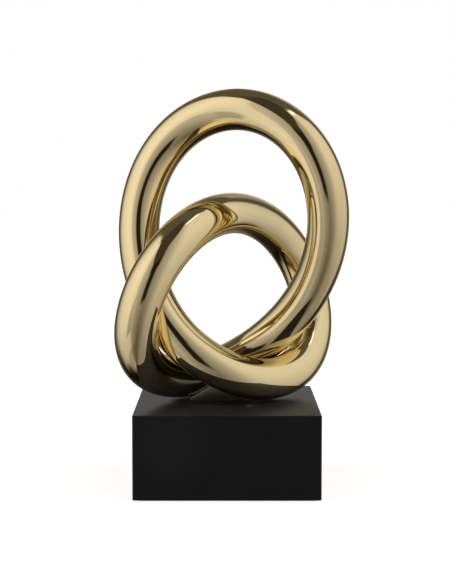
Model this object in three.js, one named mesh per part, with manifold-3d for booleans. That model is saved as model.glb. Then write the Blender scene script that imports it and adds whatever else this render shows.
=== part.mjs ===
// Infinity knot sculpture: a closed trefoil knot of bent tube on a plain block.
// Millimetres, +Z up. The origin is the middle of the underside. +X runs to the viewer's right and
// +Y runs away from the viewer.

import * as THREE from 'three';
import { mergeVertices } from 'three/addons/utils/BufferGeometryUtils.js';
import Module from 'manifold-3d';

// Tube of the knot
const TUBE_DIAMETER = 34;
const TUBE_WALL = 2;
const STRAND_GAP = 0.5;
const SEAM_GAP = 0.3;

// Sleeves inside the three seams
const SLEEVE_LENGTH = 30;
const SLEEVE_WALL = 1.5;
const SLEEVE_CLEARANCE = 0.4;

// Base block and the felt under it
const BASE_WIDTH = 150;
const BASE_DEPTH = 120;
const BASE_HEIGHT = 68;
const BASE_EDGE_RADIUS = 0.8;
const BASE_TOP_CORNER_RADIUS = 0.6;
const FELT_THICKNESS = 1;
const FELT_INSET = 3;

// Foot between the knot and the base, and the space that it leaves under the lowest strand
const FOOT_WIDTH = 50;
const FOOT_DEPTH = 14;
const FOOT_HEIGHT = 12.5;
const FOOT_TOE_HEIGHT = 2;
const FOOT_TOP_WIDTH = 20;
const FOOT_TOP_MIDDLE_X = -4;
const FOOT_MIDDLE_X = -6;
const FOOT_FRONT_Y = -3;
const SEAT_GAP = 0.3;
const KNOT_CLEARANCE = 1.1;

// Studs, washers and nuts
const STUD_DIAMETER = 6;
const STUD_SPACING = 28;
const STUD_POINT = 1;
const STUD_END = 3;
const STUD_HOLE_CLEARANCE = 0.5;
const THREAD_CLEARANCE = 0.2;
const WASHER_DIAMETER = 18;
const WASHER_THICKNESS = 1.6;
const SPRING_WASHER_DIAMETER = 11.8;
const SPRING_WASHER_THICKNESS = 1.6;
const SPRING_WASHER_SLIT = 1.2;
const NUT_WIDTH = 10;
const NUT_HEIGHT = 5;
const POCKET_CLEARANCE = 2;

// Fineness of the round faces and of the measures on them
const TUBE_SIDES = 24;
const BORE_SIDES = 16;
const ROUND_SIDES = 20;
const TUBE_STEP = 12;
const SLEEVE_STEPS = 4;
const EDGE_STEPS = 2;
const NUT_SIDES = 6;
const LOW_SAMPLES = 720;
const MERGE_DISTANCE = 1e-4;

// Centre line of the knot: twelve stations, each as right, back and up, in strand pitches.
// One pitch is the distance between the axes of two strands that pass each other, so the knot grows
// with its tube and its strands stay clear. Station 0 is the top of the tall loop, and the line runs
// from there to the left.
const STATIONS = [
  [-0.05, -0.17, 6.55],
  [-2.11, 0.15, 4.1],
  [-1.39, -0.52, 1.43],
  [-0.23, -0.57, 0.44],
  [1.57, 0.47, 0.13],
  [2.06, 1.96, 2.2],
  [0.11, -0.07, 4.09],
  [-1.87, -1.86, 2.32],
  [-1.67, -0.44, 0.25],
  [0.09, 0.64, 0.34],
  [1.76, 0.35, 1.77],
  [2.28, -0.86, 4.72],
].map((station) => new THREE.Vector3(...station));

// Seams, in station numbers: each is where a strand passes behind another one.
const SEAMS = { left: 1.51, right: 4.83, bottom: 8.74 };

// Stretches that pass over the foot, in station numbers
const FOOT_STRANDS = [
  [2.2, 4.2],
  [7.4, 9.8],
];

const tubeRadius = TUBE_DIAMETER / 2;
const boreRadius = tubeRadius - TUBE_WALL;
const pitch = TUBE_DIAMETER + STRAND_GAP;
const baseTop = FELT_THICKNESS + BASE_HEIGHT;

const gold = new THREE.MeshStandardMaterial({ color: 0xd8b878, roughness: 0.12, metalness: 1 });
const rawBrass = new THREE.MeshStandardMaterial({ color: 0xb79a55, roughness: 0.45, metalness: 1 });
const black = new THREE.MeshStandardMaterial({ color: 0x1c1c1d, roughness: 0.7, metalness: 0 });
const zinc = new THREE.MeshStandardMaterial({ color: 0xa9acb0, roughness: 0.4, metalness: 1 });
const felt = new THREE.MeshStandardMaterial({ color: 0x18181a, roughness: 1, metalness: 0 });

const wasm = await Module();
wasm.setup();

// A closed geometry as a solid that can be joined and cut.
function toSolid(geometry) {
  const bare = geometry.clone();
  bare.deleteAttribute('normal');
  bare.deleteAttribute('uv');
  const merged = mergeVertices(bare, MERGE_DISTANCE);
  return new wasm.Manifold(
    new wasm.Mesh({
      numProp: 3,
      vertProperties: merged.getAttribute('position').array,
      triVerts: new Uint32Array(merged.index.array),
    }),
  );
}

// A solid as a geometry.
function toGeometry(solid) {
  const { vertProperties, triVerts } = solid.getMesh();
  const geometry = new THREE.BufferGeometry();
  geometry.setAttribute('position', new THREE.BufferAttribute(vertProperties, 3));
  geometry.setIndex(new THREE.BufferAttribute(triVerts, 1));
  geometry.computeVertexNormals();
  return geometry;
}

// The first geometry with the others cut out of it.
function cut(geometry, ...tools) {
  return toGeometry(tools.reduce((solid, tool) => solid.subtract(toSolid(tool)), toSolid(geometry)));
}

// Corners of a regular polygon on a circle.
function circlePoints(radius, sides) {
  return Array.from({ length: sides }, (_, side) => {
    const angle = (2 * Math.PI * side) / sides;
    return new THREE.Vector2(radius * Math.cos(angle), radius * Math.sin(angle));
  });
}

// A ring section: a polygon with a polygon hole.
function ringShape(outerRadius, outerSides, innerRadius, innerSides) {
  const ring = new THREE.Shape(circlePoints(outerRadius, outerSides));
  ring.holes.push(new THREE.Path(circlePoints(innerRadius, innerSides)));
  return ring;
}

// A rectangle about the origin with round corners.
function roundedRectangle(width, depth, radius) {
  const right = width / 2;
  const back = depth / 2;
  return new THREE.Shape()
    .absarc(right - radius, back - radius, radius, 0, Math.PI / 2)
    .absarc(radius - right, back - radius, radius, Math.PI / 2, Math.PI)
    .absarc(radius - right, radius - back, radius, Math.PI, Math.PI * 1.5)
    .absarc(right - radius, radius - back, radius, Math.PI * 1.5, Math.PI * 2);
}

// An upright cylinder from one height to another.
function uprightCylinder(radius, bottom, top, sides = ROUND_SIDES) {
  return new THREE.CylinderGeometry(radius, radius, top - bottom, sides)
    .rotateX(Math.PI / 2)
    .translate(0, 0, (bottom + top) / 2);
}

// Point of the centre line in pitches, by the trigonometric interpolation of an even number of stations:
// each station weighs sin(pi d) / (count tan(pi d / count)), where d is its distance in stations.
function stationPoint(position) {
  const count = STATIONS.length;
  const point = new THREE.Vector3();
  STATIONS.forEach((station, number) => {
    const distance = position - number;
    const turn = Math.tan((Math.PI * distance) / count);
    const weight = Math.abs(turn) < 1e-9 ? 1 : Math.sin(Math.PI * distance) / (count * turn);
    point.addScaledVector(station, weight);
  });
  return point;
}

// The knot is lifted until its lowest strand clears the base, so that only the foot carries it.
const lowest = Math.min(
  ...Array.from({ length: LOW_SAMPLES }, (_, n) => stationPoint((n * STATIONS.length) / LOW_SAMPLES).z),
);
const lift = new THREE.Vector3(0, 0, baseTop + KNOT_CLEARANCE + tubeRadius - lowest * pitch);

// A stretch of the centre line, between two station numbers.
class KnotStretch extends THREE.Curve {
  constructor(from, to) {
    super();
    this.from = from;
    this.to = to;
  }

  getPoint(t, target = new THREE.Vector3()) {
    const position = THREE.MathUtils.lerp(this.from, this.to, t);
    return target.copy(stationPoint(position)).multiplyScalar(pitch).add(lift);
  }
}

// Station number that is reached by going a distance along the centre line, forwards or backwards.
function walk(start, distance) {
  const end = start + Math.sign(distance) * (STATIONS.length / 4);
  const way = new KnotStretch(start, end);
  return THREE.MathUtils.lerp(start, end, way.getUtoTmapping(0, Math.abs(distance)));
}

// A section carried along a stretch of the centre line.
function sweep(section, stretch, steps) {
  return new THREE.ExtrudeGeometry(section, { steps, bevelEnabled: false, extrudePath: stretch });
}

// One bent tube section, from seam to seam.
function tubeSection(name, startSeam, endSeam) {
  const stretch = new KnotStretch(walk(startSeam, SEAM_GAP / 2), walk(endSeam, -SEAM_GAP / 2));
  const steps = Math.round(stretch.getLength() / TUBE_STEP);
  const section = ringShape(tubeRadius, TUBE_SIDES, boreRadius, BORE_SIDES);
  return named(name, sweep(section, stretch, steps), gold);
}

// One sleeve, which bridges a seam inside the bore. Its corners clear the flats of the bore.
function jointSleeve(name, seam) {
  const stretch = new KnotStretch(walk(seam, -SLEEVE_LENGTH / 2), walk(seam, SLEEVE_LENGTH / 2));
  const outer = boreRadius * Math.cos(Math.PI / BORE_SIDES) - SLEEVE_CLEARANCE;
  const section = ringShape(outer, BORE_SIDES, outer - SLEEVE_WALL, BORE_SIDES);
  return named(name, sweep(section, stretch, SLEEVE_STEPS), rawBrass);
}

// The foot: a gusset under the lowest crossing, which slopes from its top to a low toe at each end, with a
// seat for each strand cut into it.
function mountingFoot() {
  const left = FOOT_MIDDLE_X - FOOT_WIDTH / 2;
  const right = FOOT_MIDDLE_X + FOOT_WIDTH / 2;
  const profile = [
    [left, 0],
    [right, 0],
    [right, FOOT_TOE_HEIGHT],
    [FOOT_TOP_MIDDLE_X + FOOT_TOP_WIDTH / 2, FOOT_HEIGHT],
    [FOOT_TOP_MIDDLE_X - FOOT_TOP_WIDTH / 2, FOOT_HEIGHT],
    [left, FOOT_TOE_HEIGHT],
  ].map(([x, height]) => new THREE.Vector2(x, height));
  const gusset = new THREE.ExtrudeGeometry(new THREE.Shape(profile), {
    depth: FOOT_DEPTH,
    bevelEnabled: false,
  })
    .rotateX(Math.PI / 2)
    .translate(0, FOOT_FRONT_Y + FOOT_DEPTH, baseTop);
  const seatRadius = (tubeRadius + SEAT_GAP) / Math.cos(Math.PI / TUBE_SIDES);
  const seat = new THREE.Shape(circlePoints(seatRadius, TUBE_SIDES));
  const strands = FOOT_STRANDS.map(([from, to]) => {
    const stretch = new KnotStretch(from, to);
    return sweep(seat, stretch, Math.round(stretch.getLength() / TUBE_STEP));
  });
  return named('mounting_foot', cut(gusset, ...strands), gold);
}

// Heights of the stack on each stud, from the pocket's ceiling down
const pocketDepth =
  WASHER_THICKNESS + SPRING_WASHER_THICKNESS + NUT_HEIGHT + STUD_END + POCKET_CLEARANCE;
const pocketTop = FELT_THICKNESS + pocketDepth;
const washerBottom = pocketTop - WASHER_THICKNESS;
const springWasherBottom = washerBottom - SPRING_WASHER_THICKNESS;
const nutBottom = springWasherBottom - NUT_HEIGHT;
const studBottom = nutBottom - STUD_END;
const studRadius = STUD_DIAMETER / 2;
const threadRadius = studRadius + THREAD_CLEARANCE;
const pocketRadius = WASHER_DIAMETER / 2 + POCKET_CLEARANCE;

const studY = FOOT_FRONT_Y + FOOT_DEPTH / 2;
const studPlaces = {
  left: FOOT_MIDDLE_X - STUD_SPACING / 2,
  right: FOOT_MIDDLE_X + STUD_SPACING / 2,
};

// The base block, with a hole and a pocket for each stud.
function baseBlock() {
  const outline = roundedRectangle(BASE_WIDTH, BASE_DEPTH, BASE_TOP_CORNER_RADIUS + BASE_EDGE_RADIUS);
  const block = new THREE.ExtrudeGeometry(outline, {
    depth: BASE_HEIGHT - 2 * BASE_EDGE_RADIUS,
    curveSegments: EDGE_STEPS,
    bevelThickness: BASE_EDGE_RADIUS,
    bevelSize: BASE_EDGE_RADIUS,
    bevelOffset: -BASE_EDGE_RADIUS,
    bevelSegments: EDGE_STEPS,
  }).translate(0, 0, FELT_THICKNESS + BASE_EDGE_RADIUS);
  const holes = Object.values(studPlaces).flatMap((x) =>
    [
      uprightCylinder(studRadius + STUD_HOLE_CLEARANCE, 0, baseTop + BASE_EDGE_RADIUS),
      uprightCylinder(pocketRadius, 0, pocketTop),
    ].map((hole) => hole.translate(x, studY, 0)),
  );
  return named('base_block', cut(block, ...holes), black);
}

// The felt sheet, drawn in from the block's edges.
function baseFelt() {
  const outline = roundedRectangle(BASE_WIDTH - 2 * FELT_INSET, BASE_DEPTH - 2 * FELT_INSET, FELT_INSET);
  const sheet = new THREE.ExtrudeGeometry(outline, {
    depth: FELT_THICKNESS,
    curveSegments: EDGE_STEPS,
    bevelEnabled: false,
  });
  return named('base_felt', sheet, felt);
}

// A stud, fixed to the underside of the foot, with a tapered point.
function stud() {
  const profile = [
    [0, studBottom],
    [studRadius - STUD_POINT, studBottom],
    [studRadius, studBottom + STUD_POINT],
    [studRadius, baseTop],
    [0, baseTop],
  ].map(([radius, height]) => new THREE.Vector2(radius, height));
  return new THREE.LatheGeometry(profile, ROUND_SIDES).rotateX(Math.PI / 2);
}

// A flat ring round a stud.
function plainWasher() {
  const ring = ringShape(WASHER_DIAMETER / 2, ROUND_SIDES, threadRadius, ROUND_SIDES);
  return new THREE.ExtrudeGeometry(ring, { depth: WASHER_THICKNESS, bevelEnabled: false }).translate(
    0,
    0,
    washerBottom,
  );
}

// A ring with a slit through one side.
function springWasher() {
  const ring = ringShape(SPRING_WASHER_DIAMETER / 2, ROUND_SIDES, threadRadius, ROUND_SIDES);
  const body = new THREE.ExtrudeGeometry(ring, {
    depth: SPRING_WASHER_THICKNESS,
    bevelEnabled: false,
  }).translate(0, 0, springWasherBottom);
  const slit = new THREE.BoxGeometry(
    SPRING_WASHER_DIAMETER,
    SPRING_WASHER_SLIT,
    3 * SPRING_WASHER_THICKNESS,
  ).translate(SPRING_WASHER_DIAMETER / 2, 0, springWasherBottom);
  return cut(body, slit);
}

// A hexagon nut.
function nut() {
  const corner = NUT_WIDTH / 2 / Math.cos(Math.PI / NUT_SIDES);
  const section = ringShape(corner, NUT_SIDES, threadRadius, ROUND_SIDES);
  return new THREE.ExtrudeGeometry(section, { depth: NUT_HEIGHT, bevelEnabled: false }).translate(
    0,
    0,
    nutBottom,
  );
}

// A named mesh.
function named(name, geometry, material) {
  const mesh = new THREE.Mesh(geometry, material);
  mesh.name = name;
  return mesh;
}

// One fixing: a stud with what is on it, in its place under the foot.
function fixing(side, x) {
  const group = new THREE.Group();
  group.position.set(x, studY, 0);
  group.add(
    named(`${side}_stud`, stud(), zinc),
    named(`${side}_washer`, plainWasher(), zinc),
    named(`${side}_spring_washer`, springWasher(), zinc),
    named(`${side}_nut`, nut(), zinc),
  );
  return group;
}

const sculpture = new THREE.Group();
sculpture.name = 'infinity_knot_sculpture';
sculpture.add(
  tubeSection('tall_loop_tube', SEAMS.bottom, SEAMS.left + STATIONS.length),
  tubeSection('front_bow_tube', SEAMS.left, SEAMS.right),
  tubeSection('low_loop_tube', SEAMS.right, SEAMS.bottom),
  ...Object.entries(SEAMS).map(([side, seam]) => jointSleeve(`${side}_joint_sleeve`, seam)),
  mountingFoot(),
  ...Object.entries(studPlaces).map(([side, x]) => fixing(side, x)),
  baseBlock(),
  baseFelt(),
);

export default sculpture;
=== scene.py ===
"""Infinity knot sculpture: a polished gold knot of bent tube on a matt black block."""

import math

import bpy
import numpy as np
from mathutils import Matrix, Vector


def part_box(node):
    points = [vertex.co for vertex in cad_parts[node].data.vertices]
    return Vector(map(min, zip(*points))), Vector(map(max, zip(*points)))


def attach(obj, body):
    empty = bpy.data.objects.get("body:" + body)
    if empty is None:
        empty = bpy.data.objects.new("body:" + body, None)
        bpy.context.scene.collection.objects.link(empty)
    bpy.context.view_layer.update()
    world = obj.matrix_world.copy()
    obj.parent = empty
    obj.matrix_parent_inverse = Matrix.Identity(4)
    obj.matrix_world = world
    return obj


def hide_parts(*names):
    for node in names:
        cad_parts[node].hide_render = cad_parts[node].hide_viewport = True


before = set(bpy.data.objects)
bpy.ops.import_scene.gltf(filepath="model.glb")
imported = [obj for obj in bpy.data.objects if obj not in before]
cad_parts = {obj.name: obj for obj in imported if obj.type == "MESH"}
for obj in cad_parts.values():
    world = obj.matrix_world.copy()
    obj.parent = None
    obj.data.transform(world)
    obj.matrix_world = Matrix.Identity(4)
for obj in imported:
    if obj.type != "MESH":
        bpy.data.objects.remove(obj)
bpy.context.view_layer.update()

scene = bpy.context.scene
scene.view_settings.view_transform = "Standard"

# Frame of the photograph, in pixels
IMAGE_WIDTH = 452
IMAGE_HEIGHT = 584

# Camera: its place in metres, its tilt below the horizon, and where its axis meets the picture
CAMERA_PLACE = (0.0, -0.8933, 0.2599)
CAMERA_TILT = math.radians(3.4)
CAMERA_FOCUS_PIXELS = 1070.8
AXIS_PIXEL_X = 227.0
AXIS_PIXEL_Y = 236.7
SENSOR = 36.0

# Knot, in metres
TUBE_RADIUS = 0.017
STRAND_GAP = 0.0005
SEAT_GAP = 0.0003
KNOT_CLEARANCE = 0.0011
PITCH = 2 * TUBE_RADIUS + STRAND_GAP
KNOT_RINGS = 960
KNOT_SIDES = 96
# A direction that the tube never takes, from which its rings are turned
LEAN = np.array([-0.29, 0.96, 0.0])
# Centre line: twelve stations, each as right, back and up, in strand pitches
STATIONS = np.array([
    [-0.05, -0.17, 6.55],
    [-2.11, 0.15, 4.1],
    [-1.39, -0.52, 1.43],
    [-0.23, -0.57, 0.44],
    [1.57, 0.47, 0.13],
    [2.06, 1.96, 2.2],
    [0.11, -0.07, 4.09],
    [-1.87, -1.86, 2.32],
    [-1.67, -0.44, 0.25],
    [0.09, 0.64, 0.34],
    [1.76, 0.35, 1.77],
    [2.28, -0.86, 4.72],
])
# Stretches that pass over the foot, in station numbers, and the steps that each is cut into
FOOT_STRANDS = ((2.2, 4.2), (7.4, 9.8))
FOOT_STRAND_STEPS = 240
# Step for a difference along the centre line, in stations
SMALL_STEP = 1e-4

# Foot, in metres
FOOT_TOE_HEIGHT = 0.002
FOOT_TOP_LEFT = -0.014
FOOT_TOP_RIGHT = 0.006
FOOT_EDGE = 0.0006
FOOT_COLUMNS = 176
FOOT_ROWS = 48
# Depth behind its front face over which the painted shade under the strands sets in
FOOT_SHADE_FROM = (0.0004, 0.0025)

# Block, in metres
BLOCK_EDGE = 0.0008
BLOCK_CORNER = 0.0014
EDGE_STEPS = 6
CORNER_STEPS = 8
FLAT_MARGIN = 0.0003
# Patch of the front that is painted paler, a painted pool of light: its middle, and the distances over
# which it fades
LIT_PATCH_MIDDLE = (-0.042, -0.06, 0.048)
LIT_PATCH_REACH = (0.008, 0.042)
# Part of the top under the knot that is kept darker, as painted shade
KNOT_SHADE_MIDDLE = (0.012, 0.008, 0.069)
KNOT_SHADE_REACH = (0.02, 0.042)
# Dull patch about the foot, drawn out sideways
SCUFFED_ROUGHNESS = 0.5
SCUFFED_DRAWN = (0.44, 1.0, 1.0)
SCUFFED_MIDDLE = (-0.001, -0.002, 0.069)
SCUFFED_REACH = (0.014, 0.022)

# Felt, in metres
FELT_CORNER = 0.003
FELT_EDGE = 0.0004

# Floor: its size in metres, its colour, and the glow that makes it white to the camera
FLOOR_SIZE = 12.0
FLOOR_COLOUR = (0.8, 0.8, 0.8, 1.0)
FLOOR_GLOW = 0.8

# Colours, where a pair is the two ends of a drift
WHITE = (1.0, 1.0, 1.0, 1.0)
GOLD_TONES = ((0.86, 0.73, 0.435, 1.0), (0.88, 0.75, 0.455, 1.0))
# Foot: a gold darkened as painted shade, and a darker colour for painted shade under the strands
FOOT_SHADED_TONES = ((0.54, 0.51, 0.39, 1.0), (0.6, 0.57, 0.45, 1.0))
FOOT_PAINTED_SHADE = (0.09, 0.085, 0.07, 1.0)
LACQUER_TONES = ((0.0076, 0.0076, 0.0083, 1.0), (0.0089, 0.0089, 0.0097, 1.0))
# Paler colour for a patch of painted light on the front
LACQUER_LIT_PATCH = (0.0135, 0.0134, 0.0145, 1.0)
# Paler colour for painted light on the top
LACQUER_TOP_LIGHT = (0.036, 0.038, 0.044, 1.0)
LACQUER_SHEEN = (0.83, 0.92, 1.0, 1.0)
FELT_TONES = ((0.006, 0.006, 0.007, 1.0), (0.03, 0.03, 0.032, 1.0))
BRASS_TONES = ((0.55, 0.40, 0.17, 1.0), (0.68, 0.54, 0.27, 1.0))
ZINC_TONES = ((0.56, 0.57, 0.58, 1.0), (0.68, 0.67, 0.63, 1.0))


class Socket:
    """An output of a shader node. Sums on it add Math nodes."""

    def __init__(self, tree, output):
        self.tree = tree
        self.output = output

    def __add__(self, other):
        return self.tree.math("ADD", self, other)

    __radd__ = __add__

    def __sub__(self, other):
        return self.tree.math("SUBTRACT", self, other)

    def __rsub__(self, other):
        return self.tree.math("SUBTRACT", other, self)

    def __mul__(self, other):
        return self.tree.math("MULTIPLY", self, other)

    __rmul__ = __mul__

    def __truediv__(self, other):
        return self.tree.math("DIVIDE", self, other)


class Tree:
    """The node tree of a material or of the world. Each call of make adds one node."""

    def __init__(self, owner):
        owner.use_nodes = True
        self.nodes = owner.node_tree.nodes
        self.links = owner.node_tree.links
        self.nodes.clear()

    def make(self, kind, settings=None, sockets=None, output=0):
        """Adds a node, with its settings first and then the values or links of its sockets.
        Gives the output that is asked for, or a list where several are."""
        node = self.nodes.new("ShaderNode" + kind)
        for name, value in (settings or {}).items():
            if name == "stops":
                set_stops(node.color_ramp.elements, value)
            else:
                setattr(node, name, value)
        for key, value in (sockets or {}).items():
            if isinstance(value, Socket):
                self.links.new(value.output, node.inputs[key])
            else:
                node.inputs[key].default_value = value
        if isinstance(output, tuple):
            return [Socket(self, node.outputs[key]) for key in output]
        return Socket(self, node.outputs[output]) if node.outputs else None

    def math(self, operation, *values):
        """One Math node on these values."""
        return self.make("Math", {"operation": operation}, dict(enumerate(values)))

    def rise(self, value, start, end):
        """0 up to start, 1 from end on, and a soft slope between."""
        return self.make("MapRange", {"interpolation_type": "SMOOTHSTEP"}, {0: value, 1: start, 2: end})

    def mix(self, share, first, second):
        """A colour between two colours."""
        return self.make("Mix", {"data_type": "RGBA"}, {0: share, 6: first, 7: second}, 2)

    def noise(self, place, scale, detail=2.0, roughness=0.5):
        """Cloudy noise from 0 to 1 over the places, scale times a metre."""
        sockets = {"Vector": place, "Scale": scale, "Detail": detail, "Roughness": roughness}
        return self.make("TexNoise", {}, sockets)

    def away(self, place, middle):
        """Distance of the places from one point."""
        return self.make("VectorMath", {"operation": "DISTANCE"}, {0: place, 1: middle}, "Value")

    def stretched(self, place, scale):
        """Places times a factor along each axis. A small factor draws a pattern out."""
        return self.make("VectorMath", {"operation": "MULTIPLY"}, {0: place, 1: scale})

    def bump(self, height, strength, distance):
        """Fine unevenness of a surface, for its Normal."""
        return self.make("Bump", {}, {"Strength": strength, "Distance": distance, "Height": height})


def set_stops(elements, stops):
    """Puts grey stops, each as place and level, on a colour ramp."""
    while len(elements) < len(stops):
        elements.new(1.0)
    for element, (place, level) in zip(elements, stops):
        element.position = place
        element.color = (level, level, level, 1.0)


def new_material(name):
    """An empty material and its node tree."""
    material = bpy.data.materials.new(name)
    return material, Tree(material)


def finish_material(tree, sockets):
    """Ends a material in a Principled shader with these sockets."""
    shader = tree.make("BsdfPrincipled", {}, sockets)
    tree.make("OutputMaterial", {}, {"Surface": shader})


def polished_gold():
    """Pale gold plating: its tone drifts a little, and polishing has left a faint haze and waves."""
    material, tree = new_material("polished_gold")
    place = tree.make("TexCoord", output="Object")
    drift = tree.noise(place, scale=22.0, detail=3.0)
    haze = tree.noise(place, scale=90.0, detail=4.0, roughness=0.6)
    wave = tree.noise(place, scale=55.0, detail=1.0)
    finish_material(tree, {
        "Base Color": tree.mix(drift, *GOLD_TONES),
        "Metallic": 1.0,
        "Roughness": 0.01 + 0.03 * haze,
        "Normal": tree.bump(wave, strength=0.02, distance=0.001),
    })
    return material


def satin_gold_with_painted_shade(front):
    """Plating out of the polishing wheel's reach: a satin face in a gold darkened as painted shade, and
    painted shade that deepens behind it under the strands.
    """
    material, tree = new_material("satin_gold_with_painted_shade")
    place = tree.make("TexCoord", output="Object")
    drift = tree.noise(place, scale=60.0, detail=3.0)
    depth = tree.make("SeparateXYZ", {}, {0: place}, "Y") - front
    # Painted shade: darker further back behind the front face, under the strands
    tarnish_and_painted_shade = tree.rise(depth, *FOOT_SHADE_FROM) * (0.85 + 0.15 * drift)
    # The face's gold is darkened as painted shade
    face = tree.mix(drift, *FOOT_SHADED_TONES)
    finish_material(tree, {
        "Base Color": tree.mix(tarnish_and_painted_shade, face, FOOT_PAINTED_SHADE),
        "Metallic": 1.0,
        "Roughness": 0.5 + 0.1 * drift,
    })
    return material


def matt_black():
    """Sprayed lacquer: a fine even tooth, a slight drift of its sheen, a paler patch on its front that is
    painted light, a paler top that is painted light, kept darker under the knot as painted shade, and a
    dull patch about the foot."""
    material, tree = new_material("matt_black")
    place = tree.make("TexCoord", output="Object")
    drift = tree.noise(place, scale=30.0, detail=3.0)
    tooth = tree.noise(place, scale=2600.0)
    height = tree.make("SeparateXYZ", {}, {0: place}, "Z")
    # Painted light: the top is paler than the sides
    painted_top_light = tree.rise(height - block_top, -BLOCK_EDGE / 2, 0.0) * (0.8 + 0.4 * drift)
    # Painted shade: the top stays darker under the knot
    painted_top_light = painted_top_light * tree.rise(tree.away(place, KNOT_SHADE_MIDDLE), *KNOT_SHADE_REACH)
    about_foot = tree.stretched(place, SCUFFED_DRAWN)
    scuffed = 1 - tree.rise(tree.away(about_foot, SCUFFED_MIDDLE), *SCUFFED_REACH)
    # Painted light: a paler patch on the front's left
    lit_patch = (1 - tree.rise(tree.away(place, LIT_PATCH_MIDDLE), *LIT_PATCH_REACH)) * (0.6 + 0.6 * drift)
    clean = tree.mix(lit_patch, tree.mix(drift, *LACQUER_TONES), LACQUER_LIT_PATCH)
    finish_material(tree, {
        "Base Color": tree.mix(painted_top_light, clean, LACQUER_TOP_LIGHT),
        "Roughness": 0.37 + 0.06 * drift + SCUFFED_ROUGHNESS * scuffed,
        "Specular IOR Level": 0.35,
        "Specular Tint": LACQUER_SHEEN,
        "Normal": tree.bump(tooth, strength=0.12, distance=0.0002),
    })
    return material


def black_felt():
    """Pressed felt: short fibres that lie all ways."""
    material, tree = new_material("black_felt")
    place = tree.make("TexCoord", output="Object")
    drawn = tree.stretched(place, (1.0, 2.2, 1.6))
    fibres = tree.noise(drawn, scale=1500.0, detail=4.0, roughness=0.7)
    patch = tree.noise(place, scale=160.0)
    finish_material(tree, {
        "Base Color": tree.mix(fibres * 0.7 + patch * 0.3, *FELT_TONES),
        "Roughness": 0.9 + 0.1 * fibres,
        "Sheen Weight": 0.25,
        "Normal": tree.bump(fibres, strength=0.7, distance=0.0003),
    })
    return material


def drawn_brass():
    """Plain drawn tube: dull yellow metal with drawing lines and a patchy tarnish."""
    material, tree = new_material("drawn_brass")
    place = tree.make("TexCoord", output="Object")
    tarnish_and_painted_shade = tree.noise(place, scale=120.0, detail=4.0, roughness=0.6)
    lines = tree.noise(tree.stretched(place, (1.0, 1.0, 0.08)), scale=2400.0)
    finish_material(tree, {
        "Base Color": tree.mix(tarnish_and_painted_shade, *BRASS_TONES),
        "Metallic": 1.0,
        "Roughness": 0.3 + 0.2 * tarnish_and_painted_shade + 0.08 * lines,
        "Normal": tree.bump(lines, strength=0.2, distance=0.0001),
    })
    return material


def zinc_steel():
    """Zinc plated steel: pale grey metal with a faint crystal pattern."""
    material, tree = new_material("zinc_steel")
    place = tree.make("TexCoord", output="Object")
    crystal = tree.make("TexVoronoi", {}, {"Vector": place, "Scale": 1400.0}, "Distance")
    patch = tree.noise(place, scale=260.0, detail=3.0)
    finish_material(tree, {
        "Base Color": tree.mix(patch, *ZINC_TONES),
        "Metallic": 1.0,
        "Roughness": 0.26 + 0.12 * patch + 0.1 * crystal,
    })
    return material


def put_mesh(name, points, faces, material):
    """A smooth mesh object at the origin from a flat array of points and a list of faces."""
    mesh = bpy.data.meshes.new(name)
    mesh.from_pydata(points, [], faces)
    mesh.polygons.foreach_set("use_smooth", np.ones(len(mesh.polygons), bool))
    mesh.materials.append(material)
    mesh.update()
    piece = bpy.data.objects.new(name, mesh)
    scene.collection.objects.link(piece)
    return piece


def quads(rows, columns, wrap_rows, wrap_columns):
    """Corner numbers of the quads of a grid, row by row, closed into a ring either way where asked."""
    index = np.arange(rows * columns).reshape(rows, columns)
    across = np.roll(index, -1, 1)
    above = np.roll(index, -1, 0)
    beyond = np.roll(above, -1, 1)
    faces = np.stack([index, across, beyond, above], -1)
    last_row = rows if wrap_rows else rows - 1
    last_column = columns if wrap_columns else columns - 1
    return faces[:last_row, :last_column].reshape(-1, 4)


def unit(vectors):
    """Vectors of length 1 in the same directions."""
    return vectors / np.linalg.norm(vectors, axis=-1, keepdims=True)


def station_line(position):
    """Centre line in pitches at station numbers, by trigonometric interpolation: a station at a distance
    of d stations weighs sin(pi d) / (count tan(pi d / count))."""
    count = len(STATIONS)
    distance = np.pi * (np.asarray(position)[:, None] - np.arange(count))
    turn = np.tan(distance / count)
    here = np.abs(turn) < 1e-9
    weight = np.where(here, 1.0, np.sin(distance) / (count * np.where(here, 1.0, turn)))
    return weight @ STATIONS


block_low, block_high = (np.array(corner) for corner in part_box("base_block"))
block_top = block_high[2]
one_turn = np.linspace(0.0, len(STATIONS), 4 * KNOT_RINGS + 1)
knot_lift = block_top + KNOT_CLEARANCE + TUBE_RADIUS - station_line(one_turn)[:, 2].min() * PITCH


def knot_line(position):
    """Centre line in metres: the station line scaled by the pitch and lifted clear of the block."""
    return station_line(position) * PITCH + [0.0, 0.0, knot_lift]


def knot_tube(material):
    """The tube's skin: centre(s) + radius (cos a across + sin a over), with s evenly spaced along the
    centre line and a round it. Across is the lean direction made square to the line."""
    steps = np.linalg.norm(np.diff(knot_line(one_turn), axis=0), axis=1)
    reached = np.concatenate([[0.0], np.cumsum(steps)])
    position = np.interp(np.arange(KNOT_RINGS) / KNOT_RINGS * reached[-1], reached, one_turn)
    along = unit(knot_line(position + SMALL_STEP) - knot_line(position - SMALL_STEP))
    across = unit(LEAN - (along @ LEAN)[:, None] * along)
    over = np.cross(along, across)
    angle = np.arange(KNOT_SIDES) / KNOT_SIDES * 2 * np.pi
    spoke = np.cos(angle)[:, None] * across[:, None] + np.sin(angle)[:, None] * over[:, None]
    points = knot_line(position)[:, None] + TUBE_RADIUS * spoke
    return put_mesh("knot_tube", points.reshape(-1, 3), quads(KNOT_RINGS, KNOT_SIDES, True, True), material)


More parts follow.
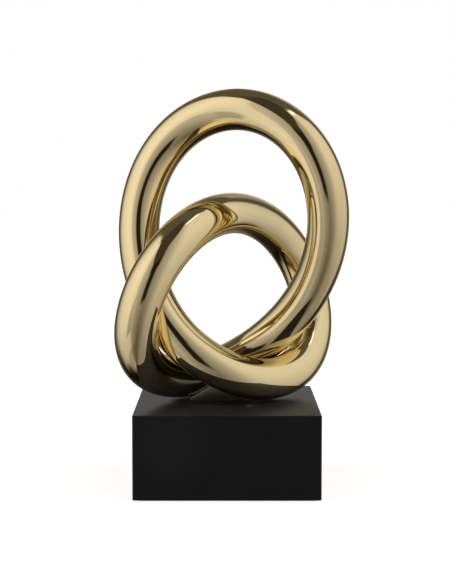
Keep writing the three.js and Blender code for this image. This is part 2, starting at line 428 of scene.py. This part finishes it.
def strand_underside(x, y):
    """Height of the lowest strand surface over each place: the least of z - sqrt(r r - d d) over balls
    along the strands that pass the foot, where d is the distance in plan to a ball's centre."""
    strands = [np.linspace(start, end, FOOT_STRAND_STEPS) for start, end in FOOT_STRANDS]
    centres = knot_line(np.concatenate(strands))
    apart = np.hypot(x[..., None] - centres[:, 0], y[..., None] - centres[:, 1])
    reach = TUBE_RADIUS + SEAT_GAP
    inside = np.sqrt(np.maximum(reach**2 - apart**2, 0.0))
    return np.where(apart < reach, centres[:, 2] - inside, np.inf).min(-1)


def foot_gusset(material):
    """The foot: a height field over its footprint, the lower of a gusset that slopes from its top to its
    toes and of the strands' undersides, with its rim rounded off by a quarter circle, on upright walls."""
    low, high = (np.array(corner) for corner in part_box("mounting_foot"))
    height = high[2] - low[2]
    fade = (1 - np.cos(np.linspace(0.0, np.pi, FOOT_COLUMNS))) / 2
    x = (low[0] + (high[0] - low[0]) * fade)[None, :].repeat(FOOT_ROWS, 0)
    fade = (1 - np.cos(np.linspace(0.0, np.pi, FOOT_ROWS))) / 2
    y = (low[1] + (high[1] - low[1]) * fade)[:, None].repeat(FOOT_COLUMNS, 1)
    slope = np.interp(
        x,
        [low[0], FOOT_TOP_LEFT, FOOT_TOP_RIGHT, high[0]],
        [FOOT_TOE_HEIGHT, height, height, FOOT_TOE_HEIGHT],
    )
    top = np.minimum(low[2] + slope, strand_underside(x, y))
    rim = np.minimum.reduce([x - low[0], high[0] - x, y - low[1], high[1] - y])
    drop = FOOT_EDGE - np.sqrt(np.maximum(FOOT_EDGE**2 - np.maximum(FOOT_EDGE - rim, 0.0) ** 2, 0.0))
    upper = np.stack([x, y, np.maximum(top - drop, low[2] + FOOT_EDGE / 4)], -1)
    lower = np.stack([x, y, np.full_like(x, low[2])], -1)
    count = FOOT_ROWS * FOOT_COLUMNS
    index = np.arange(count).reshape(FOOT_ROWS, FOOT_COLUMNS)
    border = np.concatenate([index[0, :-1], index[:-1, -1], index[-1, :0:-1], index[:0:-1, 0]])
    onward = np.roll(border, -1)
    walls = np.stack([border + count, onward + count, onward, border], -1)
    grid = quads(FOOT_ROWS, FOOT_COLUMNS, False, False)
    faces = np.concatenate([grid, grid[:, ::-1] + count, walls])
    points = np.concatenate([upper.reshape(-1, 3), lower.reshape(-1, 3)])
    return put_mesh("foot_gusset", points, faces, material)


def rounded_slab(name, low, high, corner, edge, material):
    """An upright slab with round corners and round edges: a profile of inset and height, which turns a
    quarter circle at each edge, carried round a rectangle with round corners. A margin of flat on both
    sides of each round keeps the flat faces flat in the light."""
    turn = np.linspace(0.0, np.pi / 2, EDGE_STEPS + 1)
    inset = edge * (1 - np.sin(turn))
    rise = edge * (1 - np.cos(turn))
    flat = [edge + FLAT_MARGIN]
    lower_inset = np.concatenate([flat, inset, [0.0]])
    lower_height = np.concatenate([[0.0], rise, [edge + FLAT_MARGIN]])
    inset = np.concatenate([lower_inset, lower_inset[::-1]])
    height = np.concatenate([low[2] + lower_height, high[2] - lower_height[::-1]])
    arc = np.linspace(0.0, np.pi / 2, CORNER_STEPS + 1)
    arc = np.concatenate([arc[:1], arc, arc[-1:]])
    push = np.zeros(len(arc))
    push[0], push[-1] = -FLAT_MARGIN, FLAT_MARGIN
    turns = np.arange(4)[:, None] * np.pi / 2
    angle = (arc + turns).reshape(-1)
    push = np.tile(push, 4)
    spoke = np.stack([np.cos(angle), np.sin(angle)], -1)
    shove = np.stack([-np.sin(angle), np.cos(angle)], -1) * push[:, None]
    half = (high[:2] - low[:2]) / 2 - corner
    signs = np.array([[1, 1], [-1, 1], [-1, -1], [1, -1]]).repeat(len(arc), 0)
    middle = (high[:2] + low[:2]) / 2
    plan = middle + signs * half + shove + (corner - inset)[:, None, None] * spoke
    upright = height[:, None, None].repeat(len(angle), 1)
    points = np.concatenate([plan, upright], -1)
    rows, columns = points.shape[:2]
    faces = quads(rows, columns, False, True).tolist()
    faces.append(list(range(columns))[::-1])
    faces.append(list(range((rows - 1) * columns, rows * columns)))
    return put_mesh(name, points.reshape(-1, 3), faces, material)


# Studio by azimuth, in degrees to the right of the camera, and by elevation: places and levels
AROUND = (
    (-180, 0.13), (-160, 0.2), (-150, 0.1), (-143, 0.07), (-136, 0.09), (-129, 0.22), (-122, 0.43),
    (-112, 0.67), (-97, 0.88), (-60, 1.0), (-42, 0.87), (-38.5, 0.82), (-36.5, 0.6), (-26, 0.48),
    (-16, 0.38), (10, 0.28), (25, 0.4), (37, 0.51), (51, 0.73), (62, 0.79), (108, 0.77), (120, 0.6),
    (127, 0.08), (141, 0.1), (152, 0.32), (160, 0.36), (180, 0.2),
)
LEFT_UPWARD = (
    (-90, 0.34), (-67, 0.36), (-62, 0.58), (-45, 0.66), (-35, 0.75), (-25, 0.83), (-15, 0.86), (5, 0.92),
    (25, 1.0), (45, 0.97), (60, 0.9), (90, 0.9),
)
RIGHT_UPWARD = (
    (-90, 0.33), (-65, 0.35), (-55, 0.4), (-45, 0.53), (-35, 0.62), (-25, 0.71), (-15, 0.78), (5, 0.89),
    (25, 0.98), (45, 1.0), (60, 0.96), (90, 0.96),
)
# Azimuths over which the left side passes into the right side
SIDES_MEET = (-20.0, 20.0)
# Elevation at which the dark ceiling starts, by azimuth, and how soft its edge is
CEILING_FROM = (
    (-180, 42), (-128, 46), (-105, 58), (-85, 62), (-48, 59), (-36, 51), (-14, 27), (3, 28), (12, 42),
    (30, 58), (42, 71), (90, 71), (104, 60), (122, 46), (180, 42),
)
CEILING_SOFT = 3.0
CEILING_LEVEL = 0.09
# Part of the ceiling over the camera, by azimuth, which is darker
CEILING_FRONT = ((-75.0, -45.0), (30.0, 65.0))
CEILING_FRONT_LEVEL = 0.045
# Dark gap about the camera, which widens upwards
GAP_LEFT = (-13.0, -6.0)
GAP_RIGHT = (4.5, 12.5)
GAP_FOOT = (-28.0, -18.0)
GAP_LEVEL = 0.014
GAP_WIDENS = (12.0, 20.0)
GAP_WIDENING = 4.0
# Left panel: its lower right corner is cut off by a slant
CORNER_EDGE = (-41.0, -35.0)
CORNER_FROM = -6.0
CORNER_SLANT = 0.7
CORNER_FOOT = (-48.0, -43.0)
CORNER_SHADE = 0.42
# A lamp along the top of the right panel
LAMP_ACROSS = ((44.0, 52.0), (86.0, 96.0))
LAMP_UPWARD = ((64.5, 67.0), (70.0, 71.5))
LAMP_GLOW = 1.0
# Floor behind and beneath the object, in the shade
BEHIND_FROM = (0.3, 0.6)
BENEATH_FROM = (0.05, 0.25)
BENEATH_ASIDE = (0.4, 0.58)
BEHIND_DOWN = (20.0, 40.0)
BEHIND_SHADE = 0.85
# Tints of the bright and the dark parts, and the levels between which one passes into the other
LIGHT_TINT = (1.04, 0.99, 0.92, 1.0)
SHADE_TINT = (1.15, 1.0, 0.7, 1.0)
SHADE_LEVEL = 0.06
LIGHT_LEVEL = 0.3
# White backdrop as the metal shows it
BACKDROP_FROM = (0.88, 0.98)
BACKDROP_UPWARD = (5.0, 13.0)
BACKDROP_GLOW = 0.9


def studio_world():
    """The studio by direction: a large soft panel on each side, a dark gap between them where the camera
    stands, a lamp over the right panel, dark walls behind the object and a dark ceiling. The camera sees a
    white background."""
    world = bpy.data.worlds.new("studio")
    scene.world = world
    tree = Tree(world)
    direction = tree.make("TexCoord", output="Generated")
    right, back, up = tree.make("SeparateXYZ", {}, {0: direction}, ("X", "Y", "Z"))
    azimuth = tree.math("ARCTAN2", right, 0 - back) * (180 / math.pi)
    elevation = tree.math("ARCSINE", up) * (180 / math.pi)

    def by_azimuth(stops):
        """Levels by azimuth from stops in degrees."""
        stops = [((place + 180) / 360, level) for place, level in stops]
        return tree.make("ValToRGB", {"stops": stops}, {0: azimuth / 360 + 0.5})

    def by_elevation(stops):
        """Levels by elevation from stops in degrees."""
        stops = [((place + 90) / 180, level) for place, level in stops]
        return tree.make("ValToRGB", {"stops": stops}, {0: elevation / 180 + 0.5})

    def between(value, first, last):
        """1 between two soft edges, and 0 outside them."""
        return tree.rise(value, *first) * (1 - tree.rise(value, *last))

    side = tree.rise(azimuth, *SIDES_MEET)
    upward = by_elevation(LEFT_UPWARD) * (1 - side) + by_elevation(RIGHT_UPWARD) * side
    walls = by_azimuth(AROUND) * upward
    slant = tree.math("MAXIMUM", CORNER_FROM - elevation, 0.0) * CORNER_SLANT
    corner = tree.rise(azimuth + slant, *CORNER_EDGE) * (1 - tree.rise(azimuth, *CORNER_EDGE))
    walls = walls * (1 - CORNER_SHADE * corner * tree.rise(elevation, *CORNER_FOOT))
    aside = tree.math("ABSOLUTE", right)
    beneath = tree.rise(back, *BENEATH_FROM) * (1 - tree.rise(aside, *BENEATH_ASIDE))
    behind = tree.math("MAXIMUM", tree.rise(back, *BEHIND_FROM), beneath)
    behind = behind * tree.rise(0 - elevation, *BEHIND_DOWN)
    walls = walls * (1 - BEHIND_SHADE * behind)
    wider = tree.rise(elevation, *GAP_WIDENS) * GAP_WIDENING
    gap = tree.rise(azimuth + wider, *GAP_LEFT) * (1 - tree.rise(azimuth - wider, *GAP_RIGHT))
    gap = gap * tree.rise(elevation, *GAP_FOOT)
    walls = walls * (1 - gap) + GAP_LEVEL * gap
    lamp = between(azimuth, *LAMP_ACROSS) * between(elevation, *LAMP_UPWARD)
    walls = walls + LAMP_GLOW * lamp
    front = between(azimuth, *CEILING_FRONT)
    ceiling = CEILING_LEVEL - (CEILING_LEVEL - CEILING_FRONT_LEVEL) * front
    edge = by_azimuth([(place, height / 90) for place, height in CEILING_FROM]) * 90
    above = tree.rise(elevation - edge, -CEILING_SOFT, CEILING_SOFT)
    level = walls * (1 - above) + ceiling * above
    share = tree.rise(level, SHADE_LEVEL, LIGHT_LEVEL)
    studio = tree.mix(share, SHADE_TINT, LIGHT_TINT)
    studio = tree.make("VectorMath", {"operation": "SCALE"}, {0: studio, "Scale": level})
    camera_ray, glossy_ray, clear_ray = tree.make(
        "LightPath", {}, {}, ("Is Camera Ray", "Is Glossy Ray", "Is Transmission Ray")
    )
    backdrop = tree.rise(back, *BACKDROP_FROM) * tree.rise(elevation, *BACKDROP_UPWARD)
    seen = camera_ray + backdrop * (glossy_ray + clear_ray) * BACKDROP_GLOW
    background = tree.make("Background", {}, {"Color": tree.mix(seen, studio, WHITE), "Strength": 1.0})
    tree.make("OutputWorld", {}, {"Surface": background})


def studio_floor():
    """A wide pale floor, white to the camera, that keeps the object's soft shadow."""
    material, tree = new_material("pale_floor")
    half = FLOOR_SIZE / 2
    camera_ray = tree.make("LightPath", {}, {}, "Is Camera Ray")
    diffuse = tree.make("BsdfDiffuse", {}, {"Color": FLOOR_COLOUR})
    glow = tree.make("Emission", {}, {"Color": WHITE, "Strength": camera_ray * FLOOR_GLOW})
    tree.make("OutputMaterial", {}, {"Surface": tree.make("AddShader", {}, {0: diffuse, 1: glow})})
    points = np.array([[-half, -half, 0.0], [half, -half, 0.0], [half, half, 0.0], [-half, half, 0.0]])
    floor = put_mesh("floor", points, [(0, 1, 2, 3)], material)
    floor.visible_glossy = False


def photo_camera():
    """A camera at the photograph's place, tilt and framing."""
    data = bpy.data.cameras.new("camera")
    longest = max(IMAGE_WIDTH, IMAGE_HEIGHT)
    data.sensor_width = SENSOR
    data.lens = SENSOR * CAMERA_FOCUS_PIXELS / longest
    data.shift_x = (IMAGE_WIDTH / 2 - AXIS_PIXEL_X) / longest
    data.shift_y = (AXIS_PIXEL_Y - IMAGE_HEIGHT / 2) / longest
    camera = bpy.data.objects.new("camera", data)
    camera.location = CAMERA_PLACE
    camera.rotation_euler = (math.pi / 2 - CAMERA_TILT, 0.0, 0.0)
    scene.collection.objects.link(camera)
    scene.camera = camera


def place_piece(piece, slot, *nodes):
    """Fixes a piece to the one body in place of the CAD nodes that it stands for, and hides those nodes.
    The slot is not used.
    """
    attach(piece, "root")
    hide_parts(*nodes)


photo_camera()
studio_world()
studio_floor()

gold = polished_gold()
foot_gold = satin_gold_with_painted_shade(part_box("mounting_foot")[0][1])
lacquer = matt_black()
felt = black_felt()
brass = drawn_brass()
zinc = zinc_steel()

place_piece(knot_tube(gold), "polished_gold", "tall_loop_tube", "front_bow_tube", "low_loop_tube")
place_piece(foot_gusset(foot_gold), "polished_gold", "mounting_foot")
block = rounded_slab("lacquered_block", block_low, block_high, BLOCK_CORNER, BLOCK_EDGE, lacquer)
place_piece(block, "matt_black", "base_block")
felt_low, felt_high = (np.array(corner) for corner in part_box("base_felt"))
sheet = rounded_slab("felt_sheet", felt_low, felt_high, FELT_CORNER, FELT_EDGE, felt)
place_piece(sheet, "black_felt", "base_felt")

# Inner pieces keep their CAD shapes
for name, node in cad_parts.items():
    if name.endswith(("_sleeve", "_stud", "_washer", "_nut")):
        node.data.materials.clear()
        node.data.materials.append(brass if name.endswith("_sleeve") else zinc)
